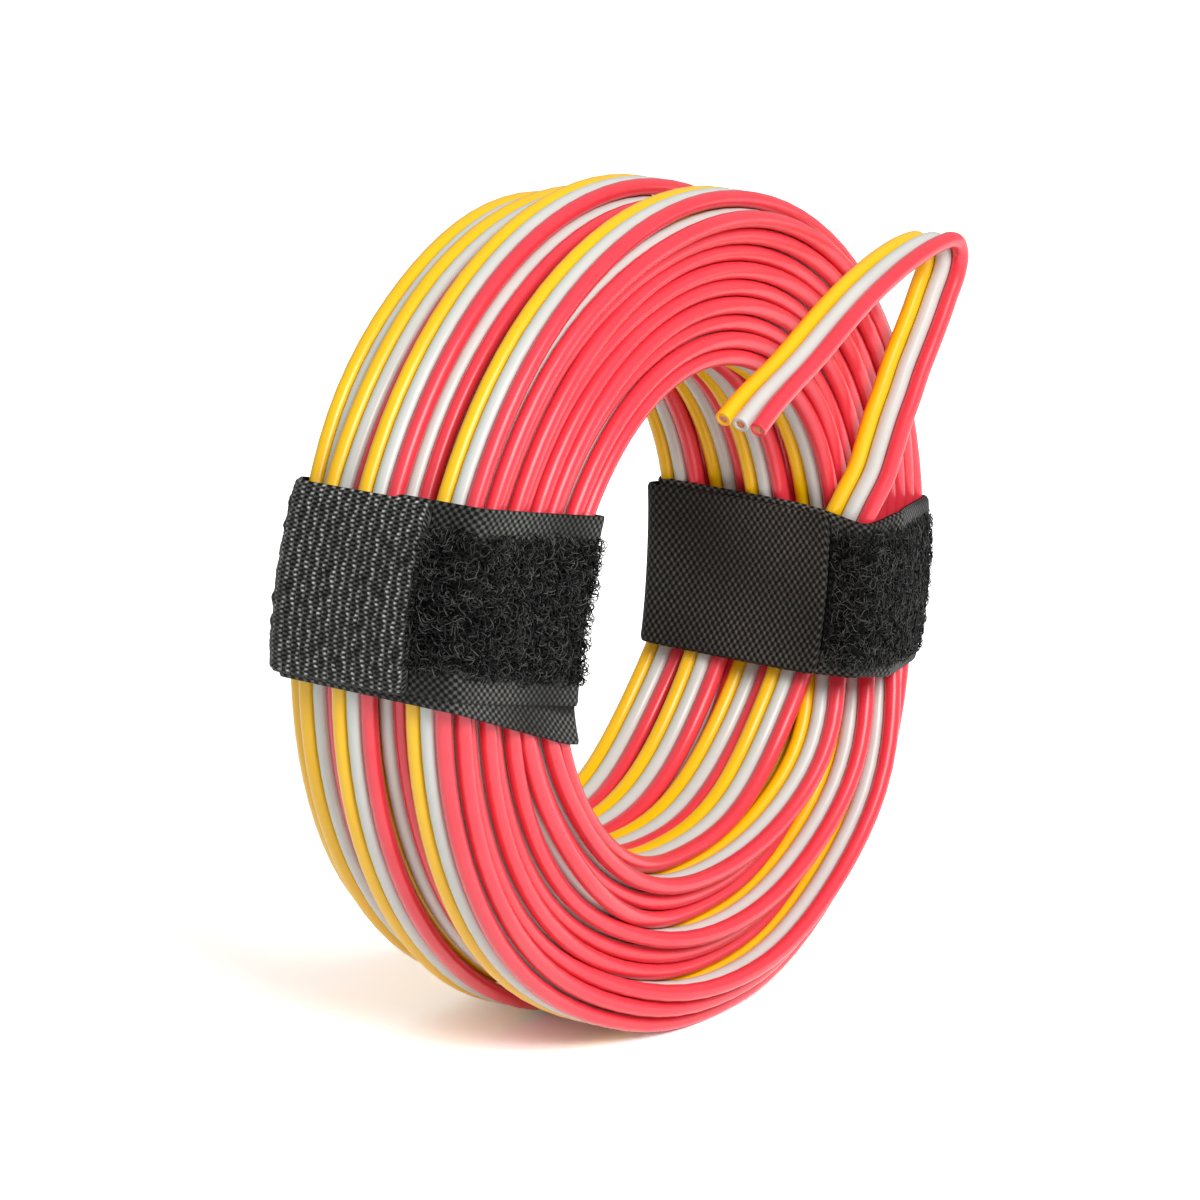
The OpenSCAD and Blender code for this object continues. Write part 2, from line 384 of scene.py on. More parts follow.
def strand_bundle(name, line):
    """Copper strands in rings round a middle one. Each is a thin tube whose axis turns about the core's
    line by the twist times its depth, and whose cut end is rounded."""
    t = unit(line[-1] - line[-2])
    u = unit(side[-1] - t * (side[-1] @ t))
    v = np.cross(t, u)
    turn = 2 * np.pi * np.arange(STRAND_SIDES)[:, None] / STRAND_SIDES
    rim = np.cos(turn) * u + np.sin(turn) * v
    size = STRAND_D / 2 * np.array(STRAND_RADIUS_SHARES)
    rows = len(STRAND_DEPTHS)
    points, faces = [], []
    for count, ring in STRAND_RINGS:
        for k in range(count):
            depth = np.array(STRAND_DEPTHS) + rng.uniform(*STRAND_UNEVEN)
            twist = 2 * np.pi * k / count + STRAND_TWIST * depth
            spoke = np.cos(twist)[:, None] * u + np.sin(twist)[:, None] * v
            axis = line[-1] + depth[:, None] * t + ring * spoke
            start = len(points) * rows * STRAND_SIDES
            points.append((axis[:, None] + size[:, None, None] * rim).reshape(-1, 3))
            cap = np.arange(start, start + STRAND_SIDES)
            faces += grid_faces(rows, STRAND_SIDES, start)
            faces += [cap[::-1].tolist(), (cap + (rows - 1) * STRAND_SIDES).tolist()]
    return mesh_piece(name, np.concatenate(points), faces)


print("strands in a core:", sum(count for count, ring in STRAND_RINGS))

# %% [markdown]
# ### The three cores in place
#
# The cores lie side by side, so each one's line is the ribbon's line moved by a whole core along
# the direction across the ribbon.

# %% The three cores in place
CORE_PLACES = {"yellow": 1, "white": 0, "red": -1}
cores, strands = {}, {}
for colour, place in CORE_PLACES.items():
    line = ribbon + place * CORE_D * spread[:, None] * side
    piece, copper = core_tube(f"{colour}_core", line), strand_bundle(f"{colour}_strands", line)
    cores[colour], strands[colour] = piece, copper
    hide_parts(f"{colour}_winding", f"{colour}_tail")
    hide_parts(f"{colour}_conductor")

# %% [markdown]
# ## Straps
#
# A hook-and-loop strap is a woven nylon tape. One face carries a brushed pile of loops between
# two plain selvedges. The end of the tape carries hooks on its inside and shows its woven back.
# A cloth simulation could wrap the tape round the coil, but it would settle differently each
# time. Here each strap follows an outline round the bundle, of straight runs with rounded
# corners, so that every bulge and lean is a named size.

# %% Outlines
STRAP_W = 24.0
RIM_R = 54.0
EYE_R = 30.4
# Nearest and furthest place from the coil's axis, and half the depth of the four columns.
INNER_X = 27.85
OUTER_X = 55.2
HALF_Y = 13.35
CORNER_R = 1.1
IN, OUT, SIDE = INNER_X + CORNER_R, OUTER_X - CORNER_R, HALF_Y - CORNER_R
# How far the near strap's inner side leans out, and its front and back stand past the columns.
NEAR_LEAN = 0.8
NEAR_FRONT_IN, NEAR_FRONT_OUT = 1.0, 0.7
NEAR_FRONT_L = 8.0
NEAR_RIDGE_X, NEAR_RIDGE_Y = 49.0, 3.3
# The far strap also holds the free end, so its front stands further off.
FAR_LEAN_BACK, FAR_LEAN_FRONT = 1.2, 0.5
FAR_FRONT_IN, FAR_FRONT_OUT = 6.4, 6.2
FAR_FRONT_X = 36.5
NEAR_CORNERS = [(IN, SIDE), (IN + NEAR_LEAN, -SIDE - NEAR_FRONT_IN),
                (OUT - NEAR_FRONT_L, -SIDE - NEAR_FRONT_OUT), (OUT, -SIDE), (OUT, SIDE),
                (NEAR_RIDGE_X, SIDE + NEAR_RIDGE_Y)]
FAR_CORNERS = [(OUT, SIDE), (IN + FAR_LEAN_BACK, SIDE), (IN - FAR_LEAN_FRONT, -SIDE - FAR_FRONT_IN),
               (FAR_FRONT_X, -SIDE - FAR_FRONT_OUT), (OUT, -SIDE)]
LEAST_ARC_POINTS = 5


def rounded_loop(corners, reach, step):
    """Points and outward directions of an outline round a polygon at a distance from it: straight runs
    beside its edges, and an arc about each corner, from the end of one run to the start of the next."""
    corners = np.array(corners)
    edges = np.roll(corners, -1, axis=0) - corners
    heading = np.arctan2(edges[:, 1], edges[:, 0])
    points, normals = [], []
    for corner, edge, came, goes in zip(corners, edges, np.roll(heading, 1), heading):
        turn = (goes - came) % (2 * np.pi)
        arc = came - np.pi / 2 + np.linspace(0, turn, max(LEAST_ARC_POINTS, int(reach * turn / step)))
        steps = int(np.linalg.norm(edge) / step)
        run = np.arange(1, steps) / steps
        facing = np.concatenate([arc, np.full(len(run), goes - np.pi / 2)])
        normal = np.stack([np.cos(facing), np.sin(facing)], axis=1)
        base = np.concatenate([np.repeat(corner[None], len(arc), 0), corner + run[:, None] * edge])
        points.append(base + reach * normal)
        normals.append(normal)
    return np.concatenate(points), np.concatenate(normals)


def run_along(points):
    """Distance along a row of points, from its first."""
    return np.concatenate([[0.0], np.cumsum(np.linalg.norm(np.diff(points, axis=0), axis=1))])


print("outline corners:", len(NEAR_CORNERS), "near,", len(FAR_CORNERS), "far")

# %% [markdown]
# ### Bend of a strap across its width
#
# A strap is wide enough for the coil to curve away beneath it. Its outer side follows the rim,
# and its inner side follows the eye, but only in part, as the tape is stiff across. One function
# bends the strap and turns it to its place at nine or three o'clock.

# %% Bend of a strap
TURN = {"near": math.radians(14.5), "far": math.radians(9.5)}
HAND = {"near": -1, "far": 1}
EYE_BEND_SHARE = 0.4


def placed(x, y, w, strap):
    """Points of a strap at a distance x from the coil's axis, y along it and w across the strap. The
    outer side drops by the rim's radius less the root of its square less w squared. The inner side bends
    with the eye in the same way, by a share of it within the tape's width."""
    share = np.clip((x - INNER_X) / (OUTER_X - INNER_X), 0, 1)
    hollow = np.sqrt(EYE_R ** 2 - w ** 2) - np.sqrt(EYE_R ** 2 - (STRAP_W / 2) ** 2)
    x = (x - share * (RIM_R - np.sqrt(RIM_R ** 2 - w ** 2))
         + (1 - share) * hollow * np.where(hollow > 0, EYE_BEND_SHARE, 1.0))
    turn, hand = TURN[strap], HAND[strap]
    return np.stack([hand * x * math.cos(turn) + w * math.sin(turn), y + MIDDLE_Y,
                     -hand * x * math.sin(turn) + w * math.cos(turn) + AXIS_Z], axis=-1)


drop_at_edge = RIM_R - math.sqrt(RIM_R ** 2 - (STRAP_W / 2) ** 2)
print("a strap's edge drops at the rim by", round(drop_at_edge, 2), "mm")

# %% [markdown]
# ### Weaves
#
# Three weaves show in the photograph. The near tab has cords across it with small round lumps,
# where the hooks are anchored. The far tab is a close basket weave, paler in soft patches. The
# bands show only their selvedges. Cords and lumps are large enough to be a height of the mesh.
# Single stitches are too many for that, so these functions say how strong a painted highlight the
# threads get at each place, and the nylon finish paints the stitches there over painted shade.

# %% Weaves
LUMP_ALONG, LUMP_ACROSS = 2.8, 3.0
LUMP_H, LUMP_AREA, LUMP_REACH = 0.34, 0.55, 10
# A lump dims the threads' painted highlight by this share.
LUMP_SHADE = 0.8
CORD_PITCH = 1.4
CORD_H, CORD_SWAY = 0.26, 0.14
# Cords and lumps are moved along by this share of their pitch, so a lump stands on a cord's flank.
QUARTER = 0.25
STITCH_L = 0.9
STITCH_LEAST = 0.35
# The least painted highlight, in the gaps, and its strength on a full stitch.
LEAST_HIGHLIGHT, STITCH_HIGHLIGHT = 0.14, 1.25
# Lengths and phase of the slow sines that make the painted highlight paler in soft patches.
PATCHES_ALONG, PATCHES_ACROSS, PATCHES_SLANT, PATCHES_START = 4.1, 3.3, 6.0, 0.6
BOW_H = 0.12
# The pile covers a band to this far from its middle, and its selvedges show beyond.
SELVEDGE_FROM = 7.6
SELVEDGE_L = 3.7
GRID = 32
UNEVEN = rng.uniform(0.0, 1.0, (GRID, GRID))


def hump(v):
    """Squared cosine of half a turn per unit: 1 at whole numbers and 0 half way between them."""
    return np.cos(np.pi * v) ** 2


def uneven(row, place):
    """A fixed random share for each cell of a grid, found by its whole row and place."""
    return UNEVEN[np.round(row).astype(int) % GRID, np.round(place).astype(int) % GRID]


def ribbed_weave(s, w):
    """Height and painted highlight of cords across the tape: a hump cubed, with a strength that differs
    from stitch to stitch. The cords sway round lumps, which are bell curves in a staggered grid and dim
    the painted highlight."""
    row = s / LUMP_ALONG
    place = w / LUMP_ACROSS + 0.5 * np.round(row)
    sway = CORD_SWAY * np.sin(2 * np.pi * w / LUMP_ACROSS + np.pi * np.round(s / CORD_PITCH))
    cord = s / CORD_PITCH + QUARTER + sway
    stitch = hump(cord) ** 3 * (STITCH_LEAST + (1 - STITCH_LEAST) * uneven(cord, w / STITCH_L))
    away = ((LUMP_ALONG * (row - np.round(row) + QUARTER)) ** 2
            + (LUMP_ACROSS * (place - np.round(place))) ** 2)
    lump = np.exp(-away / LUMP_AREA) * uneven(row, place) * (np.abs(w) < LUMP_REACH)
    bright = (LEAST_HIGHLIGHT + STITCH_HIGHLIGHT * stitch) * (1 - LUMP_SHADE * lump)
    return CORD_H * stitch + LUMP_H * lump, bright


def basket_weave(s, w):
    """Height and painted highlight of a flat weave: two slow sines, one along and one on a slant, bow it a
    little and make its painted highlight paler in soft patches."""
    patchy = (0.5 + 0.25 * np.sin(s / PATCHES_ALONG + PATCHES_START)
            + 0.2 * np.sin(w / PATCHES_ACROSS + s / PATCHES_SLANT))
    return BOW_H * patchy, 0.35 + 0.4 * patchy


def plain_weave(s, w):
    """Height and painted highlight of the band: level, with painted highlights on the threads of the two
    selvedges only, which a slow sine along the tape makes stronger and weaker."""
    bright = np.clip(np.abs(w) - SELVEDGE_FROM, 0.15, 1) * (0.7 + 0.3 * np.sin(s / SELVEDGE_L))
    return np.zeros_like(bright), bright


print("cords to a centimetre on the near tab:", round(10 / CORD_PITCH, 1))

# %% [markdown]
# ### A strip of tape
#
# A length of tape is thin and closed, with an outer face, an inner face and two edges. A plane
# with the Solidify modifier would do for a flat one. Here each cross-section is one ring of points
# whose outer face carries the weave, so a strip is made like a core. A band that goes all the way
# round meets its own start, and a tab has two capped ends with rounded corners.

# %% A strip of tape
EDGE_ROUND = 0.5
EDGE_T_SHARE = 0.55
END_ROUND = 1.6
# The hidden inner face needs only every eighth point of the outer one.
INNER_SKIP = 8


def strip(points, normals, inside, thickness, weave, strap, closed, columns, width, rise, lift=None):
    """Closed rings along an outline: the outer face from one edge to the other at the strip's thickness
    plus the weave's height, then the inner face back. rise moves the strip along its width by a length or
    by a function of the outline's points. lift moves points off the outline and along the width."""
    s = run_along(points + (inside + thickness) * normals)[:, None]
    w = np.linspace(width / 2, -width / 2, columns)[None, :]
    from_end = np.minimum(s, s[-1] - s)
    edge = np.minimum(1.0, (width / 2 - np.abs(w)) / EDGE_ROUND)
    ends = 1.0 if closed else np.minimum(1.0, from_end / EDGE_ROUND)
    height, bright = weave(s, w)
    round_share = EDGE_T_SHARE + (1 - EDGE_T_SHARE) * np.minimum(edge, ends)
    outer = inside + thickness * round_share + height * edge * ends
    few = w[:, ::-INNER_SKIP]
    inner_shape = (len(points), few.shape[1])
    reach = np.concatenate([outer, np.full(inner_shape, inside)], axis=1)
    relief = np.concatenate([bright, np.zeros(inner_shape)], axis=1)
    w = np.repeat(np.concatenate([w, few], axis=1), len(points), axis=0)
    off = lift(s, w) if lift else np.zeros(w.shape + (3,))
    plan = points[:, None] + reach[..., None] * normals[:, None] + off[..., :2]
    up_by = rise(points)[:, None] if callable(rise) else rise
    past_end = 0.0 if closed else np.clip(END_ROUND - from_end, 0, None)
    cut = 1 - (END_ROUND - np.sqrt(END_ROUND ** 2 - past_end ** 2)) / (width / 2)
    rings = placed(plan[..., 0], plan[..., 1], w * cut + up_by + off[..., 2], strap)
    rows, sides = w.shape
    faces = grid_faces(rows, sides, closed=closed)
    if not closed:
        faces += [list(range(sides))[::-1], list(range((rows - 1) * sides, rows * sides))]
    if HAND[strap] < 0:
        faces = [face[::-1] for face in faces]
    values = {"relief": relief, "along": np.repeat(s, sides, axis=1), "across": w}
    return rings.reshape(-1, 3), faces, {key: value.reshape(-1) for key, value in values.items()}


def joined(first, second):
    """Two strips as one list of points and faces, with their values."""
    faces = first[1] + [[len(first[0]) + k for k in face] for face in second[1]]
    values = {key: np.concatenate([first[2][key], second[2][key]]) for key in first[2]}
    return np.concatenate([first[0], second[0]]), faces, values


print("a tab's corners are rounded to", END_ROUND, "mm")

# %% [markdown]
# ### Near strap
#
# The near strap goes round the bundle once and laps over itself at the front, where the lower
# layer has slipped down and shows below the upper one. The two layers are separate strips in one
# piece, because one strip that winds over itself would have to pass through its own start. The
# tab is finer, as its cords and lumps are part of its shape.

# %% Near strap
# The strap lies this far off the bundle. Outlines have a point about every BAND_STEP.
STRAP_GAP = 0.05
BAND_STEP = 0.4
BAND_COLUMNS = 49
NEAR_LAYER_T, NEAR_UPPER_AT, NEAR_UPPER_RISE = 0.4, 0.41, 0.4
# How much the lower layer has dropped all round, and how much more at the front inner corner.
DROP_ALL, DROP_CORNER = 0.6, 3.9
DROP_FROM_X, DROP_FROM_Y, DROP_OVER = 58, 13, 26
# Where the upper layer ends on the front, on the rim side and on the eye side.
UPPER_FRONT, UPPER_RIM_END, UPPER_EYE_END = 3, 0, -6


def near_drop(points):
    """The lower layer's place along its width: a drop that grows in a straight line towards the front
    and towards the eye, so that it is greatest at the front inner corner."""
    to_front = np.clip((DROP_FROM_Y - points[:, 1]) / DROP_OVER, 0, 1)
    to_eye = np.clip((DROP_FROM_X - points[:, 0]) / DROP_OVER, 0, 1)
    return -DROP_ALL - DROP_CORNER * to_front * to_eye


near_loop, near_out = rounded_loop(NEAR_CORNERS, CORNER_R + STRAP_GAP, BAND_STEP)
near_x, near_y = near_loop.T
upper = ((near_y < -SIDE + UPPER_FRONT) | ((near_x > OUT) & (near_y < UPPER_RIM_END))
         | ((near_x < IN) & (near_y < UPPER_EYE_END)))
under_layer = strip(near_loop, near_out, 0.0, NEAR_LAYER_T, plain_weave, "near", True, BAND_COLUMNS,
                    STRAP_W, near_drop)
upper_layer = strip(near_loop[upper], near_out[upper], NEAR_UPPER_AT, NEAR_LAYER_T, plain_weave, "near",
                    False, BAND_COLUMNS, STRAP_W, NEAR_UPPER_RISE)
points, faces, values = joined(under_layer, upper_layer)
near_band = mesh_piece("near_band", points, faces, **values)
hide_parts("near_strap_band")
print("near band:", len(near_band.data.polygons), "faces")

# %% Near tab
NEAR_TAB_STEP, NEAR_TAB_COLUMNS = 0.15, 161
NEAR_TAB_AT, NEAR_TAB_T = 0.84, 0.6
# A point this far beyond the outer corners' centres is on the rim side.
ON_RIM = 0.3
# The tab runs from this place on the rim side to this far past the back outer corner.
NEAR_TAB_FRONT, NEAR_TAB_BACK_L = -7, 9

fine_loop, fine_out = rounded_loop(NEAR_CORNERS, CORNER_R + STRAP_GAP, NEAR_TAB_STEP)
fine_x, fine_y = fine_loop.T
tab = (((fine_x > OUT + ON_RIM) & (fine_y > NEAR_TAB_FRONT))
       | ((fine_y > SIDE) & (fine_x > OUT - NEAR_TAB_BACK_L)))
points, faces, values = strip(fine_loop[tab], fine_out[tab], NEAR_TAB_AT, NEAR_TAB_T, ribbed_weave, "near",
                              False, NEAR_TAB_COLUMNS, STRAP_W, 0.0)
near_tab = mesh_piece("near_tab", points, faces, **values)
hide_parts("near_strap_tab")
print("near tab:", len(near_tab.data.polygons), "faces")

# %% [markdown]
# ### Far strap
#
# The far strap holds the free end against the front of the coil. Its band draws in where it
# bends round the free end, and its tab, closed inside the eye, stands off the band at the back
# corner. Both are small movements of a plain strip, so two short functions give them, which is
# easier to read and to change than a sculpted mesh.

# %% Far band
FAR_BAND_W, FAR_BAND_T, FAR_BAND_RISE = 22.5, 0.7, 1.6
# The bend round the free end is where the outline reaches furthest to the front and, by this share,
# to the axis.
BEND_SHARE = 0.3
PINCH_REACH, PINCH_SHARE, PINCH_DROP = 7.0, 0.09, 0.4

far_loop, far_out = rounded_loop(FAR_CORNERS, CORNER_R + STRAP_GAP, BAND_STEP)
far_x, far_y = far_loop.T
front_bend = run_along(far_loop + FAR_BAND_T * far_out)[np.argmin(far_y + BEND_SHARE * far_x)]


def pinched(s, w):
    """The band draws in across its width where it bends: a bell curve along the tape times a share of
    the place across it, and a small drop."""
    share = np.exp(-((s - front_bend) / PINCH_REACH) ** 2) * (-PINCH_SHARE * w - PINCH_DROP)
    return share[..., None] * np.array([0.0, 0.0, 1.0])


points, faces, values = strip(far_loop, far_out, 0.0, FAR_BAND_T, plain_weave, "far", True, BAND_COLUMNS,
                              FAR_BAND_W, FAR_BAND_RISE, pinched)
far_band = mesh_piece("far_band", points, faces, **values)
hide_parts("far_strap_band")
print("far band:", len(far_band.data.polygons), "faces")

# %% Far tab
FAR_TAB_STEP, FAR_TAB_COLUMNS = 0.3, 65
FAR_TAB_AT, FAR_TAB_T = 0.75, 0.55
FAR_TAB_W, FAR_TAB_RISE = 21.5, 1.3
# A point no further than this beyond the inner corners' centres is on the eye side.
ON_EYE = 1
FAR_TAB_FRONT, FAR_TAB_BACK_L = -15.1, 9
# The tab's bend begins this far beyond the inner corners' centres.
TAB_BEND_AT = 0.4
STAND_OFF, STAND_REACH, STAND_LEAST = 1.7, 5.0, 0.1

fine_loop, fine_out = rounded_loop(FAR_CORNERS, CORNER_R + STRAP_GAP, FAR_TAB_STEP)
fine_x, fine_y = fine_loop.T
tab = (((fine_y > SIDE) & (fine_x < IN + FAR_TAB_BACK_L))
       | ((fine_x < IN + ON_EYE) & (fine_y > FAR_TAB_FRONT)))
tab_bend = run_along(fine_loop[tab])[np.argmax(fine_x[tab] < IN + TAB_BEND_AT)]


def slack_corner(s, w):
    """The tab stands off towards the axis where it bends round the back: a bell curve along the tape
    times the place across it, most of all at the upper edge."""
    share = np.exp(-((s - tab_bend) / STAND_REACH) ** 2)
    share = share * np.clip((w + STRAP_W / 2) / STRAP_W, STAND_LEAST, 1)
    return share[..., None] * np.array([-STAND_OFF, 0.0, 0.0])


points, faces, values = strip(fine_loop[tab], fine_out[tab], FAR_TAB_AT, FAR_TAB_T, basket_weave, "far",
                              False, FAR_TAB_COLUMNS, FAR_TAB_W, FAR_TAB_RISE, slack_corner)
far_tab = mesh_piece("far_tab", points, faces, **values)
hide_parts("far_strap_tab")
print("far tab:", len(far_tab.data.polygons), "faces")

# %% [markdown]
# ### Loop pile
#
# The loops are single nylon filaments that stand up from the tape, bend over and come down again.
# Blender's hair would grow them, but hair isn't a mesh and wouldn't be exported. Each loop is a
# short three-sided tube along an arch that leans in a direction of its own. Real filaments are
# finer and far more, and they are drawn thicker and fewer here so that single loops show.

# %% Loop pile
FIBRE_STEPS = 8
FIBRE_SIDES = 3
FIBRE_R = 0.06
FIBRE_SPANS = (0.6, 2.6)
FIBRE_SWING = 0.8
FIBRE_HEIGHT_SHARES = (0.25, 1.0)


def loop_pile(name, points, normals, inside, count, height, strap, low, high):
    """Fibres rooted at random on part of an outline. Height follows the sine of half a turn, while the
    fibre runs off to one side and swings out and back across that run."""
    s = run_along(points)
    root = rng.uniform(0, s[-1], count)
    w = rng.uniform(low, high, count)
    plan = np.stack([np.interp(root, s, c) for c in points.T], axis=1)
    facing = unit(np.stack([np.interp(root, s, c) for c in normals.T], axis=1))
    tangent = np.stack([-facing[:, 1], facing[:, 0]], axis=1)
    t = np.linspace(0, 1, FIBRE_STEPS)[None, :]
    lean = rng.uniform(0, 2 * np.pi, (count, 1))
    span = rng.uniform(*FIBRE_SPANS, (count, 1))
    tall = height * rng.uniform(*FIBRE_HEIGHT_SHARES, (count, 1))
    swing = rng.uniform(-FIBRE_SWING, FIBRE_SWING, (count, 1))
    run, across = span * (t - 0.5), swing * np.sin(2 * np.pi * t)
    ahead = run * np.cos(lean) - across * np.sin(lean)
    aside = run * np.sin(lean) + across * np.cos(lean)
    off = inside + tall * np.sin(np.pi * t)
    at = plan[:, None] + off[..., None] * facing[:, None] + ahead[..., None] * tangent[:, None]
    line = placed(at[..., 0], at[..., 1], w[:, None] + aside, strap)
    along = unit(np.gradient(line, axis=1))
    u = unit(np.cross(along, unit(rng.normal(size=(count, 1, 3)))))
    v = np.cross(along, u)
    turn = 2 * np.pi * np.arange(FIBRE_SIDES)[:, None] / FIBRE_SIDES
    rings = line[:, :, None] + FIBRE_R * (np.cos(turn) * u[:, :, None] + np.sin(turn) * v[:, :, None])
    per_fibre = FIBRE_STEPS * FIBRE_SIDES
    first = (np.arange(count) * per_fibre)[:, None, None]
    walls = np.array(grid_faces(FIBRE_STEPS, FIBRE_SIDES)) + first
    cap = np.arange(FIBRE_SIDES)
    caps = np.stack([cap[::-1], cap + per_fibre - FIBRE_SIDES]) + first
    faces = walls.reshape(-1, 4).tolist() + caps.reshape(-1, FIBRE_SIDES).tolist()
    # Each fibre's painted highlight has a random strength, strong on only a few.
    bright = np.repeat(rng.uniform(0, 1, count) ** 2, per_fibre)
    return mesh_piece(name, rings.reshape(-1, 3), faces, relief=bright)


def part_of(loop, out, mask):
    """The masked part of a closed outline, in order from where the part begins."""
    first = np.flatnonzero(mask & ~np.roll(mask, 1))[0]
    order = np.roll(np.arange(len(loop)), -first)
    order = order[mask[order]]
    return loop[order], out[order]


print("points in a fibre:", FIBRE_STEPS * FIBRE_SIDES)

# %% [markdown]
# ### Where the pile lies
#
# Each band has pile all round, apart from the part that its tab covers. The front pile, which the
# photograph shows, is its own piece, so that it can have a height and a density of its own.

# %% Where the pile lies
# The front pile's ends on the rim side and the eye side. The rest of it begins past the tabs' ends.
NEAR_PILE_RIM, NEAR_PILE_EYE, NEAR_PILE_EYE_X = -6, 2.5, 0.5
NEAR_COVERED_L, FAR_COVERED_L = 8.5, 9.5
FAR_PILE_FRONT, FAR_PILE_X, FAR_COVERED_FRONT = -15.4, 36, -15.6

near_front = (((near_x > OUT + ON_RIM) & (near_y < NEAR_PILE_RIM)) | (near_y < -SIDE)
              | ((near_x < IN + NEAR_PILE_EYE_X) & (near_y < -SIDE + NEAR_PILE_EYE)))
near_covered = (((near_x > OUT + ON_RIM) & (near_y >= NEAR_PILE_RIM))
                | ((near_y > SIDE) & (near_x > OUT - NEAR_COVERED_L)))
far_front = (far_y < FAR_PILE_FRONT) | ((far_x > FAR_PILE_X) & (far_y < 0))
far_covered = (((far_y > SIDE) & (far_x < IN + FAR_COVERED_L))
               | ((far_x < IN + ON_EYE) & (far_y > FAR_COVERED_FRONT)))
near_tape, far_tape = (near_loop, near_out), (far_loop, far_out)
# Name, strap, tape, part of it, root's place off the outline, number of fibres, height, lower and
# upper edge across the tape.
PILES = [
    ("near_pile", "near", near_tape, near_front, 0.75, 4000, 1.3, -8.4, 9.0),
    ("near_back_pile", "near", near_tape, ~near_front & ~near_covered, 0.4, 2200, 0.9, -9.6, 7.6),
    ("far_pile", "far", far_tape, far_front, 0.65, 4400, 0.75, -7.8, 10.2),
    ("far_back_pile", "far", far_tape, ~far_front & ~far_covered, 0.65, 1500, 0.75, -7.0, 10.2),
]
piles = [loop_pile(name, *part_of(*tape, part), inside, count, height, strap, low, high)
         for name, strap, tape, part, inside, count, height, low, high in PILES]
for piece in piles:
    print(piece.name, len(piece.data.loops) - 2 * len(piece.data.polygons), "triangles")

# %% [markdown]
# ## Finishes
#
# Shaders work in linear light, while a colour picker shows sRGB. Colours are written here as sRGB
# hex values, and one function converts them. One more function adds a node with its settings
# and links, so that a finish reads as a list of its nodes.

# %% Helpers for finishes
def linear(code):
    """Linear RGBA of an sRGB hex colour: a straight part near black, and above it a power of 2.4."""
    share = np.array([int(code[i:i + 2], 16) for i in (1, 3, 5)]) / 255
    return (*np.where(share <= 0.04045, share / 12.92, ((share + 0.055) / 1.055) ** 2.4), 1.0)


def add(tree, kind, sockets=None, **settings):
    """Adds a shader node. settings are its properties. sockets maps an input to the output that feeds it,
    or to its constant."""
    node = tree.nodes.new("ShaderNode" + kind)
    for key, value in settings.items():
        setattr(node, key, value)
    for socket, source in (sockets or {}).items():
        if isinstance(source, bpy.types.NodeSocket):
            tree.links.new(source, node.inputs[socket])
        else:
            node.inputs[socket].default_value = source
    return node


def new_material(name):
    """An empty node material and its tree."""
    material = bpy.data.materials.new(name)
    material.use_nodes = True
    material.node_tree.nodes.clear()
    return material, material.node_tree


print("mid grey in linear light:", round(float(linear("#808080")[0]), 3))

# %% [markdown]
# ### PVC insulation
#
# Soft PVC leaves the extruder's die smooth and satin, and it is dyed right through. Handling
# leaves it a little duller in places. One flat colour would look painted, so two close tones
# are mixed by soft noise, and the same noise dulls the gloss.

# %% PVC insulation
PATCH_L = 6.0
RIPPLE_L, RIPPLE_H, RIPPLE_STRENGTH = 1.2, 0.1, 0.06
PVC_IOR = 1.53
PVC_ROUGHNESS = (0.25, 0.37)
PVC_COLOURS = {"yellow": ("#FFC900", "#F7BC00"), "white": ("#D6D9D3", "#CACDC7"),
               "red": ("#F3424F", "#E43443")}


def pvc(name, code, deep):
    """Extruded PVC: two close tones in soft patches, and a slight ripple left by the die."""
    # The eye sees an even, strong colour with a long satin highlight along each turn.
    material, tree = new_material(name)
    place = add(tree, "TexCoord").outputs["Object"]
    patches = add(tree, "TexNoise", {"Vector": place, "Scale": 1 / (PATCH_L * MM), "Detail": 2.0})
    tone = add(tree, "Mix", {0: patches.outputs["Fac"], 6: linear(code), 7: linear(deep)},
               data_type="RGBA")
    dull = add(tree, "MapRange", {
        "Value": patches.outputs["Fac"], "To Min": PVC_ROUGHNESS[0], "To Max": PVC_ROUGHNESS[1]})
    ripple = add(tree, "TexNoise", {"Vector": place, "Scale": 1 / (RIPPLE_L * MM), "Detail": 1.0})
    bump = add(tree, "Bump", {
        "Height": ripple.outputs["Fac"], "Strength": RIPPLE_STRENGTH, "Distance": RIPPLE_H * MM})
    shader = add(tree, "BsdfPrincipled", {
        "Base Color": tone.outputs[2], "Roughness": dull.outputs["Result"],
        "Normal": bump.outputs["Normal"], "IOR": PVC_IOR, "Specular IOR Level": 0.5})
    add(tree, "OutputMaterial", {"Surface": shader.outputs["BSDF"]})
    return material


for colour, (code, deep) in PVC_COLOURS.items():
    cores[colour].data.materials.append(pvc(f"{colour}_pvc", code, deep))
    print("finish", cores[colour].data.materials[0].name)

# %% [markdown]
# ### Cut copper
#
# The strand ends are bare copper, freshly cut. A metal has no colour beneath its reflection, so its
# tone is given as the colour of the reflection itself. It changes a little from strand to strand.

# %% Cut copper
COPPER_GRAIN = 0.3
COPPER_ROUGHNESS = 0.42


def copper_finish():
    """Cut copper: a metal with two tones, mixed by noise about as coarse as a strand."""
    # The eye sees a warm sparkle in each core's end.
    material, tree = new_material("cut_copper")
    place = add(tree, "TexCoord").outputs["Object"]
    grain = add(tree, "TexNoise", {"Vector": place, "Scale": 1 / (COPPER_GRAIN * MM), "Detail": 1.0})
    tone = add(tree, "Mix", {0: grain.outputs["Fac"], 6: linear("#E2A67C"), 7: linear("#B4764C")},
               data_type="RGBA")
    shader = add(tree, "BsdfPrincipled", {
        "Base Color": tone.outputs[2], "Metallic": 1.0, "Roughness": COPPER_ROUGHNESS})
    add(tree, "OutputMaterial", {"Surface": shader.outputs["BSDF"]})
    return material


copper = copper_finish()
for piece in strands.values():
    piece.data.materials.append(copper)
print("finish", copper.name)
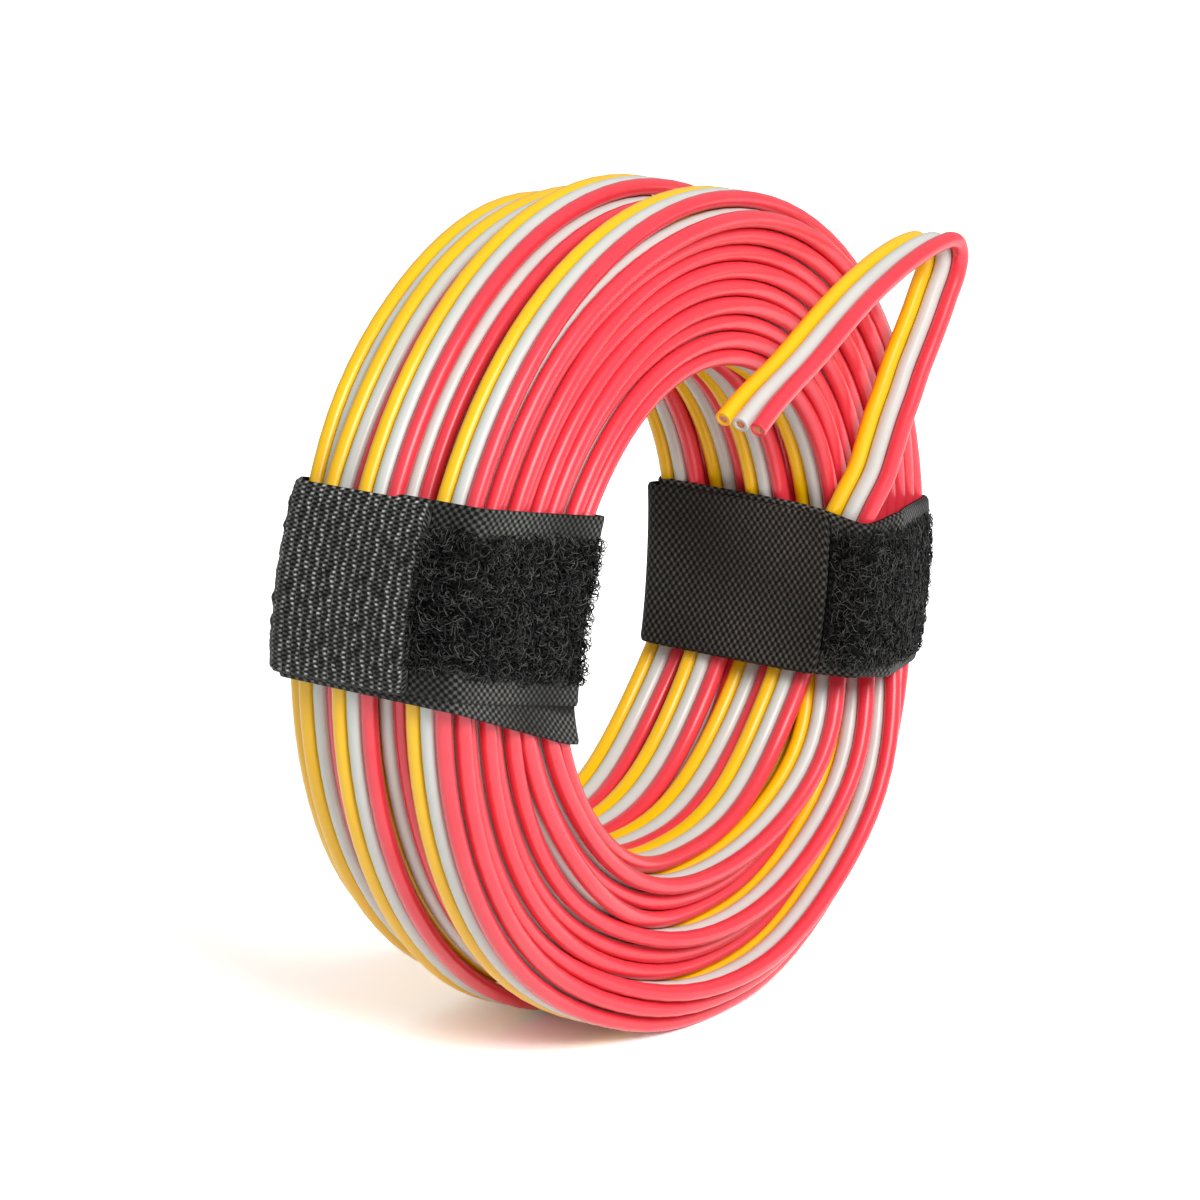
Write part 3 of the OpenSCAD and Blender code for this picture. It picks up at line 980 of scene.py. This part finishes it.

# %% [markdown]
# ### Woven nylon
#
# The tape is woven from black nylon. Raised threads get a painted highlight where they catch the
# light, and the gaps between them get painted shade, nearly black. A photograph of cloth could be
# laid on it, but it would have to be unwrapped and would blur close up. A sine along the tape times
# a sine across it gives a staggered grid of stitches that follows every bend. Real threads lie closer
# together than the pitches given here. They are drawn coarser so that they show and don't melt into grey.

# %% Woven nylon
FIBRE_GRAIN = 0.3
STITCH_H, STITCH_STRENGTH = 0.3, 0.7
# A stitch's brightness rises from the least value as the grid rises from this level to 1.
STITCH_FROM, STITCH_DARK = -0.4, 0.05
NYLON_SPECULAR = 0.05


def nylon(name, shaded_gap, lit_thread, roughness, pitch_along, pitch_across):
    """Woven nylon: gaps in painted shade have one colour and raised stitches with a painted highlight
    another, as far as the piece's painted highlight level and a fine noise of fibres let them show."""
    material, tree = new_material(name)
    place = add(tree, "TexCoord").outputs["Object"]
    fibres = add(tree, "TexNoise", {"Vector": place, "Scale": 1 / (FIBRE_GRAIN * MM), "Detail": 2.0})
    waves = []
    for key, pitch in (("along", pitch_along), ("across", pitch_across)):
        at = add(tree, "Attribute", attribute_name=key)
        turn = add(tree, "Math", {0: at.outputs["Fac"], 1: math.pi / pitch}, operation="MULTIPLY")
        wave = add(tree, "Math", {0: turn.outputs["Value"]}, operation="SINE")
        waves.append(wave.outputs["Value"])
    grid = add(tree, "Math", {0: waves[0], 1: waves[1]}, operation="MULTIPLY")
    stitch = add(tree, "MapRange", {
        "Value": grid.outputs["Value"], "From Min": STITCH_FROM, "To Min": STITCH_DARK})
    fuzzy = add(tree, "Math", {0: stitch.outputs["Result"], 1: fibres.outputs["Fac"]},
                operation="MULTIPLY")
    relief = add(tree, "Attribute", attribute_name="relief")
    level = add(tree, "Math", {0: relief.outputs["Fac"], 1: fuzzy.outputs["Value"]},
                operation="MULTIPLY")
    # The painted highlight level mixes the gaps' painted shade towards the threads' painted highlight.
    tone = add(tree, "Mix", {0: level.outputs["Value"], 6: linear(shaded_gap), 7: linear(lit_thread)},
               data_type="RGBA")
    bump = add(tree, "Bump", {
        "Height": level.outputs["Value"], "Strength": STITCH_STRENGTH, "Distance": STITCH_H * MM})
    shader = add(tree, "BsdfPrincipled", {
        "Base Color": tone.outputs[2], "Normal": bump.outputs["Normal"], "Roughness": roughness,
        "Specular IOR Level": NYLON_SPECULAR})
    add(tree, "OutputMaterial", {"Surface": shader.outputs["BSDF"]})
    return material


# Selvedges: grey checks of painted highlight along the edges of a black band.
band_nylon = nylon("selvedge_nylon", "#050505", "#A5A6A0", 0.6, 0.6, 0.5)
# Corded tape: rows of stitches with a nearly white painted highlight on black.
near_nylon = nylon("corded_nylon", "#050505", "#FFFFFA", 0.5, 0.7, 0.3)
# Basket weave: a dull, even check of painted highlight, paler in soft patches.
far_nylon = nylon("basket_nylon", "#060605", "#9C9A93", 0.6, 0.5, 0.62)
# Loop pile: black fuzz deepened by painted shade, with a painted highlight on a few filaments. It has no
# place along or across a tape, so the stitches don't show on it and its pitches may have any value.
pile_nylon = nylon("loop_pile_nylon", "#040404", "#D8DAD6", 0.5, 1.0, 1.0)
for piece, material in ((near_band, band_nylon), (far_band, band_nylon), (near_tab, near_nylon),
                        (far_tab, far_nylon), *((pile, pile_nylon) for pile in piles)):
    piece.data.materials.append(material)
print("finishes:", [m.name for m in bpy.data.materials])

# %% [markdown]
# ## Floor
#
# The coil stands on white paper that melts into a white background and keeps a soft shadow. Paper
# bright enough to be pure white would throw its light up into the coil and wash it out. A Light
# Path node tells rays apart: the camera and reflections see bright paper, and all other light
# meets plain grey-white paper.

# %% Floor
FLOOR_HALF = 4000.0
PAPER_LIT, PAPER_SEEN = 0.72, 2.1

corners = [(-1, -1, 0), (1, -1, 0), (1, 1, 0), (-1, 1, 0)]
floor_mesh = bpy.data.meshes.new("floor")
floor_mesh.from_pydata((np.array(corners) * FLOOR_HALF * MM).tolist(), [], [(0, 1, 2, 3)])
floor = bpy.data.objects.new("floor", floor_mesh)
bpy.context.scene.collection.objects.link(floor)
paper, tree = new_material("white_paper")
ray = add(tree, "LightPath")
seen = add(tree, "Math", {0: ray.outputs["Is Camera Ray"], 1: ray.outputs["Is Glossy Ray"]},
           operation="MAXIMUM")
tone = add(tree, "Mix", {
    0: seen.outputs["Value"], 6: (PAPER_LIT, PAPER_LIT, PAPER_LIT, 1.0),
    7: (PAPER_SEEN, PAPER_SEEN, PAPER_SEEN, 1.0)}, data_type="RGBA")
shader = add(tree, "BsdfDiffuse", {"Color": tone.outputs[2]})
add(tree, "OutputMaterial", {"Surface": shader.outputs["BSDF"]})
floor_mesh.materials.append(paper)
print("floor", 2 * FLOOR_HALF * MM, "m wide")

# %% [markdown]
# ## Light
#
# The photograph has the even light of a studio. The world is a soft white sky that
# fills the shade, and the camera sees it as a pure white backdrop. One large soft box, above the
# camera and to its right, gives the satin highlights and the shadow's direction. More lamps
# would flatten the turns.

# %% Light
WHITE = (1, 1, 1, 1)
SKY, BACKDROP = 0.52, 1.0
KEY_PLACE = (-350.0, -700.0, 650.0)
KEY_SIZE = 450.0
KEY_WATTS = 8.2

world = bpy.data.worlds.new("studio")
bpy.context.scene.world = world
world.use_nodes = True
tree = world.node_tree
tree.nodes.clear()
sky = add(tree, "Background", {"Color": WHITE, "Strength": SKY})
backdrop = add(tree, "Background", {"Color": WHITE, "Strength": BACKDROP})
ray = add(tree, "LightPath")
either = add(tree, "MixShader", {
    0: ray.outputs["Is Camera Ray"], 1: sky.outputs["Background"], 2: backdrop.outputs["Background"]})
add(tree, "OutputWorld", {"Surface": either.outputs["Shader"]})

key_data = bpy.data.lights.new("key", "AREA")
key_data.size = KEY_SIZE * MM
key_data.energy = KEY_WATTS
key = bpy.data.objects.new("key", key_data)
place = Vector(KEY_PLACE) * MM
key.matrix_world = (Matrix.Translation(place)
                    @ (place - MIDDLE * MM).to_track_quat("Z", "Y").to_matrix().to_4x4())
bpy.context.scene.collection.objects.link(key)
bpy.context.scene.view_settings.view_transform = "Standard"
print("key lamp at", [round(v, 3) for v in key.matrix_world.translation])
